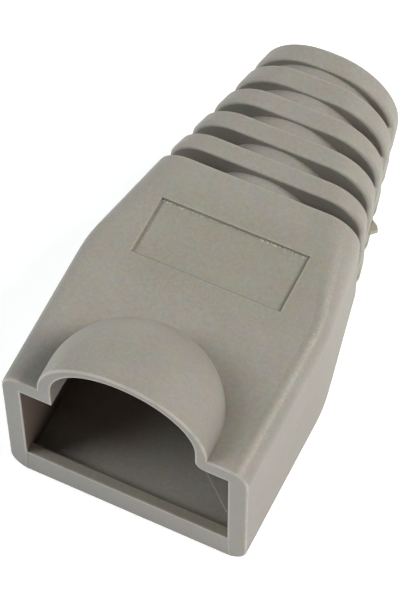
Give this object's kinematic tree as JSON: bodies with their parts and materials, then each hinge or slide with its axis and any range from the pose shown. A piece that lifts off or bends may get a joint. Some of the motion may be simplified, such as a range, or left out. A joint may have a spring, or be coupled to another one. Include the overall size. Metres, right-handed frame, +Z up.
{
  "type": "rj45 strain relief boot",
  "caption": "Soft moulded boot that slides over a modular plug: plug cavity with a domed latch hood, tapering into a slotted round neck that guides the cable.",
  "frame": {"origin": "under the middle of the part's length and width, on its flat underside", "axes": "+Y from the plug opening to the cable end, along the cable; +Z up, through the latch hood; +X across"},
  "size_m": [0.0144, 0.0262, 0.0141],
  "materials": {
    "soft_pvc": "matte warm grey soft plastic with a fine moulded grain"
  },
  "bodies": {
    "root": {"boot": "soft_pvc"}
  },
  "joints": []
}
